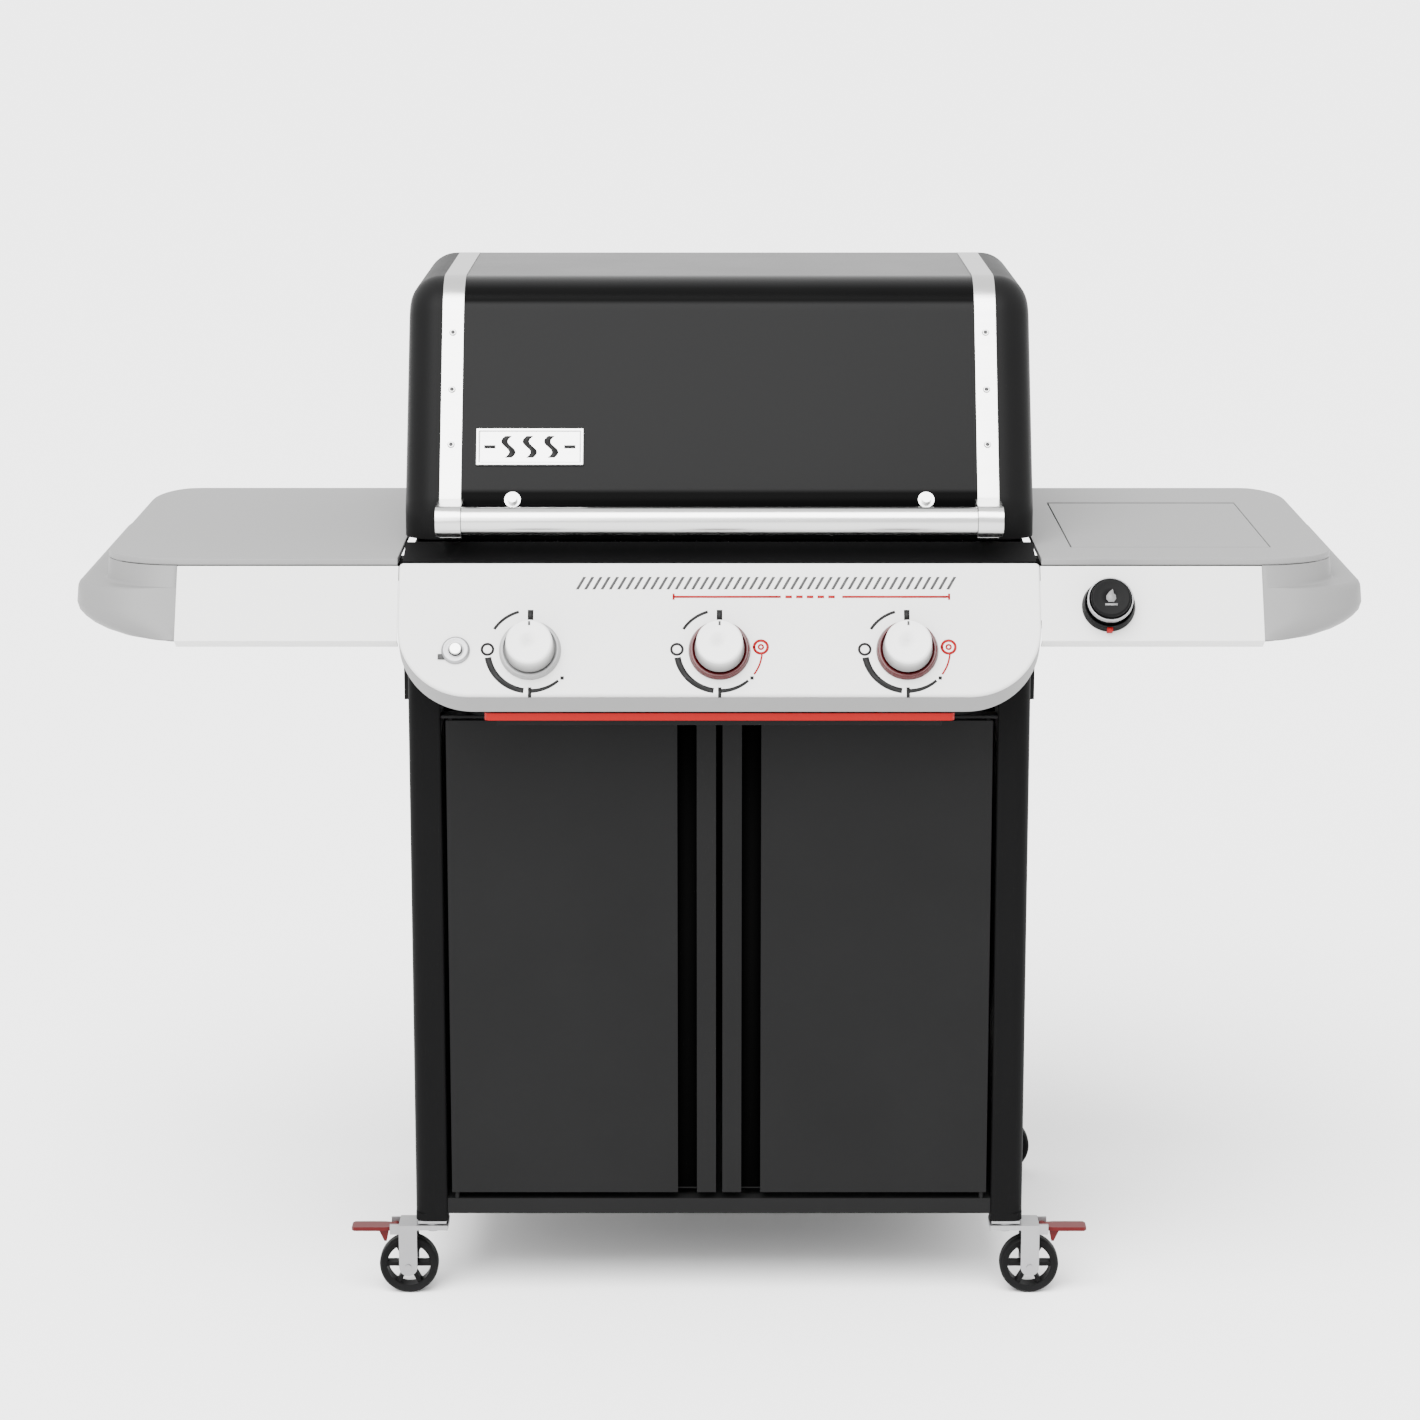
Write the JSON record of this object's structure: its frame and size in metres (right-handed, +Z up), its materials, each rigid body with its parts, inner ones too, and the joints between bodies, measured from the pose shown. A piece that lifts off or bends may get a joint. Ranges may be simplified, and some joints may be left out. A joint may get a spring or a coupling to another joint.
{
  "type": "gas barbecue grill",
  "caption": "Cabinet gas barbecue with a hinged black lid, sloped white control panel with knobs, grey side tables, side burner, double doors and casters.",
  "frame": {"origin": "centre of the bounding box's underside, where the wheels stand", "axes": "+X to the user's right along the tables, +Y to the back, +Z up"},
  "size_m": [1.58, 0.6978, 1.276],
  "materials": {
    "black_paint": "satin powder coat",
    "black_enamel": "porcelain enamel, semi-gloss",
    "black_plastic": "moulded, satin",
    "white_paint": "powder coat, satin",
    "white_plastic": "moulded, semi-gloss",
    "grey_paint": "powder coat, matte",
    "grey_plastic": "moulded, fine texture",
    "stainless": "brushed",
    "cast_iron": "porcelain coated",
    "brass": "machined",
    "zinc_steel": "zinc plated",
    "tank_paint": "gloss enamel",
    "zinc_alloy": "die cast",
    "hose_rubber": "smooth",
    "red_plastic": "moulded",
    "red_paint": "powder coat, satin",
    "wheel_rubber": "moulded"
  },
  "bodies": {
    "frame": {"left_side_panel": "black_paint", "right_side_panel": "black_paint", "cabinet_back": "black_paint", "cabinet_floor": "black_paint", "front_rails": "black_paint", "foot_caps": "black_plastic", "cookbox": "black_enamel", "control_panel": "white_paint", "left_table_top": "grey_paint", "right_table_top": "grey_paint", "table_fascias": "white_paint", "left_end_cap": "grey_plastic", "right_end_cap": "grey_plastic", "table_brackets": "black_paint", "burner_tubes": "stainless", "heat_bars": "stainless", "cooking_grates": "cast_iron", "gas_manifold": "stainless", "valve_bodies": "brass", "control_bezels": "black_plastic", "warming_rack": "stainless", "side_burner": "stainless", "gas_tank": "tank_paint", "regulator": "zinc_alloy", "gas_hose": "hose_rubber", "hinge_pins": "black_paint", "caster_plates": "zinc_steel"},
    "lid": {"lid_shroud": "black_enamel", "lid_left_cap": "black_plastic", "lid_right_cap": "black_plastic", "lid_trims": "stainless", "handle_tube": "stainless", "handle_brackets": "stainless", "badge": "stainless", "trim_screws": "stainless"},
    "left_door": {"left_door": "black_paint"},
    "right_door": {"right_door": "black_paint"},
    "plug_1": {"valve_plug_1": "brass"},
    "plug_2": {"valve_plug_2": "brass"},
    "plug_3": {"valve_plug_3": "brass"},
    "plug_side": {"side_valve_plug": "brass"},
    "knob_1": {"knob_1": "white_plastic"},
    "knob_2": {"knob_2": "white_plastic"},
    "knob_3": {"knob_3": "white_plastic"},
    "dial": {"side_burner_dial": "black_plastic"},
    "button": {"igniter_button": "stainless"},
    "side_lid": {"side_burner_lid": "grey_paint"},
    "tray": {"grease_tray": "black_enamel", "tray_front": "red_paint"},
    "handwheel": {"tank_handwheel": "black_plastic"},
    "fork_front_left": {"fork_front_left": "zinc_steel"},
    "wheel_front_left": {"wheel_front_left": "wheel_rubber"},
    "fork_front_right": {"fork_front_right": "zinc_steel"},
    "wheel_front_right": {"wheel_front_right": "wheel_rubber"},
    "fork_rear_left": {"fork_rear_left": "zinc_steel"},
    "wheel_rear_left": {"wheel_rear_left": "wheel_rubber"},
    "fork_rear_right": {"fork_rear_right": "zinc_steel"},
    "wheel_rear_right": {"wheel_rear_right": "wheel_rubber"},
    "brake_left": {"brake_left": "red_plastic"},
    "brake_right": {"brake_right": "red_plastic"}
  },
  "joints": [
    {"name": "lid_hinge", "type": "hinge", "parent": "frame", "child": "lid", "pos_m": [0, 0.318, 0.985], "axis": [-1, 0, 0], "range_deg": [0, 80]},
    {"name": "left_door_hinge", "type": "hinge", "parent": "frame", "child": "left_door", "pos_m": [-0.332, -0.217, 0.44], "axis": [0, 0, -1], "range_deg": [0, 110]},
    {"name": "right_door_hinge", "type": "hinge", "parent": "frame", "child": "right_door", "pos_m": [0.332, -0.217, 0.44], "axis": [0, 0, 1], "range_deg": [0, 110]},
    {"name": "knob_1_turn", "type": "hinge", "parent": "frame", "child": "plug_1", "pos_m": [-0.229, -0.3045, 0.85214], "axis": [0, -0.866, 0.5], "range_deg": [0, 225]},
    {"name": "knob_1_push", "type": "slide", "parent": "plug_1", "child": "knob_1", "axis": [0, 0.866, -0.5], "range_m": [0, 0.003], "stiffness_N_per_m": 900, "springref_m": -0.001},
    {"name": "knob_2_turn", "type": "hinge", "parent": "frame", "child": "plug_2", "pos_m": [0, -0.3045, 0.85214], "axis": [0, -0.866, 0.5], "range_deg": [0, 270]},
    {"name": "knob_2_push", "type": "slide", "parent": "plug_2", "child": "knob_2", "axis": [0, 0.866, -0.5], "range_m": [0, 0.003], "stiffness_N_per_m": 900, "springref_m": -0.001},
    {"name": "knob_3_turn", "type": "hinge", "parent": "frame", "child": "plug_3", "pos_m": [0.227, -0.3045, 0.85214], "axis": [0, -0.866, 0.5], "range_deg": [0, 270]},
    {"name": "knob_3_push", "type": "slide", "parent": "plug_3", "child": "knob_3", "axis": [0, 0.866, -0.5], "range_m": [0, 0.003], "stiffness_N_per_m": 900, "springref_m": -0.001},
    {"name": "dial_turn", "type": "hinge", "parent": "frame", "child": "plug_side", "pos_m": [0.472, -0.27625, 0.90107], "axis": [0, -0.866, 0.5], "range_deg": [0, 225]},
    {"name": "dial_push", "type": "slide", "parent": "plug_side", "child": "dial", "axis": [0, 0.866, -0.5], "range_m": [0, 0.003], "stiffness_N_per_m": 900, "springref_m": -0.001},
    {"name": "igniter_push", "type": "slide", "parent": "frame", "child": "button", "axis": [0, 0.866, -0.5], "range_m": [0, 0.004], "stiffness_N_per_m": 600, "springref_m": -0.001},
    {"name": "side_lid_hinge", "type": "hinge", "parent": "frame", "child": "side_lid", "pos_m": [0.559, 0.184, 0.95], "axis": [-1, 0, 0], "range_deg": [0, 100]},
    {"name": "tray_slide", "type": "slide", "parent": "frame", "child": "tray", "axis": [0, -1, 0], "range_m": [0, 0.35]},
    {"name": "handwheel_turn", "type": "hinge", "parent": "frame", "child": "handwheel", "pos_m": [-0.165, 0.05, 0.515], "axis": [0, 0, 1], "range_deg": [0, 540]},
    {"name": "swivel_front_left", "type": "hinge", "parent": "frame", "child": "fork_front_left", "pos_m": [-0.364, -0.205, 0.09], "axis": [0, 0, 1], "continuous": true},
    {"name": "roll_front_left", "type": "hinge", "parent": "fork_front_left", "child": "wheel_front_left", "pos_m": [-0.395, -0.205, 0.0375], "axis": [0, 1, 0], "continuous": true},
    {"name": "swivel_front_right", "type": "hinge", "parent": "frame", "child": "fork_front_right", "pos_m": [0.364, -0.205, 0.09], "axis": [0, 0, 1], "continuous": true},
    {"name": "roll_front_right", "type": "hinge", "parent": "fork_front_right", "child": "wheel_front_right", "pos_m": [0.395, -0.205, 0.0375], "axis": [0, 1, 0], "continuous": true},
    {"name": "swivel_rear_left", "type": "hinge", "parent": "frame", "child": "fork_rear_left", "pos_m": [-0.364, 0.27, 0.09], "axis": [0, 0, 1], "continuous": true},
    {"name": "roll_rear_left", "type": "hinge", "parent": "fork_rear_left", "child": "wheel_rear_left", "pos_m": [-0.333, 0.27, 0.0375], "axis": [0, 1, 0], "continuous": true},
    {"name": "swivel_rear_right", "type": "hinge", "parent": "frame", "child": "fork_rear_right", "pos_m": [0.364, 0.27, 0.09], "axis": [0, 0, 1], "continuous": true},
    {"name": "roll_rear_right", "type": "hinge", "parent": "fork_rear_right", "child": "wheel_rear_right", "pos_m": [0.395, 0.27, 0.0375], "axis": [0, 1, 0], "continuous": true},
    {"name": "brake_left_press", "type": "hinge", "parent": "fork_front_left", "child": "brake_left", "pos_m": [-0.412, -0.205, 0.084], "axis": [0, -1, 0], "range_deg": [0, 9], "stiffness_Nm_per_rad": 2, "springref_deg": -11.46},
    {"name": "brake_right_press", "type": "hinge", "parent": "fork_front_right", "child": "brake_right", "pos_m": [0.412, -0.205, 0.084], "axis": [0, 1, 0], "range_deg": [0, 9], "stiffness_Nm_per_rad": 2, "springref_deg": -11.46}
  ]
}
